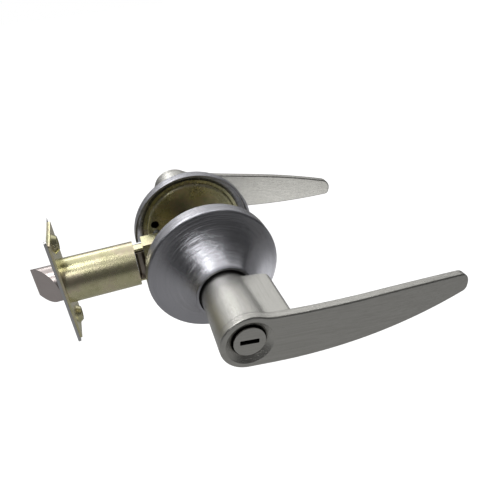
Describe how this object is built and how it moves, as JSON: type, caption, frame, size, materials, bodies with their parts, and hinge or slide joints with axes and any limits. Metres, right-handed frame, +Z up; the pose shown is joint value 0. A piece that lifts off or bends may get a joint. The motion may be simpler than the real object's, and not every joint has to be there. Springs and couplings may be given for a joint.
{
  "type": "door lever set",
  "caption": "Privacy door lever set: two lever handles on round roses through the door, with a tubular spring latch, faceplate, coin-slot release disc and thumb turn.",
  "frame": {"origin": "where the spindle axis crosses the latch axis, in the middle of the door's thickness", "axes": "+Y along the spindle towards the interior (the exterior side is -Y), +X from the latch towards the lever tips, +Z up"},
  "size_m": [0.1871, 0.1645, 0.063],
  "materials": {
    "satin_nickel": "satin nickel over a zinc casting, fine lengthwise brush",
    "satin_steel": "satin, spun brush lines round the axis",
    "faceplate_steel": "satin, upright brush lines",
    "bolt_nickel": "satin nickel over cast zinc",
    "yellow_zinc": "yellow zinc plate with a faint rainbow",
    "bright_zinc": "bright zinc plate",
    "plain_steel": "plain turned steel, lightly oiled",
    "spring_steel": "dark oil-tempered spring steel",
    "nylon": "natural nylon"
  },
  "bodies": {
    "root": {"exterior_rose": "satin_steel", "exterior_mounting_plate": "yellow_zinc", "exterior_bushing": "nylon", "threaded_posts": "bright_zinc", "interior_rose": "satin_steel", "interior_mounting_plate": "yellow_zinc", "interior_bushing": "nylon", "mounting_screws": "bright_zinc", "latch_faceplate": "faceplate_steel", "latch_back_plate": "yellow_zinc", "latch_tube": "yellow_zinc", "spring_seat": "bright_zinc", "latch_tail_frame": "yellow_zinc", "bolt_spring": "spring_steel", "exterior_return_spring": "spring_steel", "interior_return_spring": "spring_steel"},
    "levers": {"exterior_lever": "satin_nickel", "interior_lever": "satin_nickel", "exterior_hub": "plain_steel", "interior_hub": "plain_steel", "exterior_stop_washer": "plain_steel", "interior_stop_washer": "plain_steel", "exterior_retaining_ring": "spring_steel", "interior_retaining_ring": "spring_steel", "lever_set_screws": "plain_steel", "spindle": "plain_steel", "latch_cam": "plain_steel"},
    "privacy": {"emergency_release_disc": "satin_nickel", "turn_button": "satin_nickel", "privacy_bar": "plain_steel"},
    "bolt": {"latch_bolt": "bolt_nickel", "retractor": "bright_zinc", "retractor_pin": "bright_zinc"}
  },
  "joints": [
    {"name": "lever_turn", "type": "hinge", "parent": "root", "child": "levers", "pos_m": [0, 0, 0], "axis": [0, 1, 0], "range_deg": [0, 60], "stiffness_Nm_per_rad": 0.9, "springref_deg": -22.92, "deforming": ["exterior_return_spring", "interior_return_spring"]},
    {"name": "bolt_slide", "type": "slide", "parent": "root", "child": "bolt", "axis": [1, 0, 0], "range_m": [0, 0.012], "deforming": ["bolt_spring"]},
    {"name": "privacy_turn", "type": "hinge", "parent": "levers", "child": "privacy", "pos_m": [0, 0, 0], "axis": [0, 1, 0], "range_deg": [0, 90]}
  ],
  "couplings": [
    {"joint": "bolt_slide", "follows": "lever_turn", "m_per_rad": 0.011459}
  ]
}
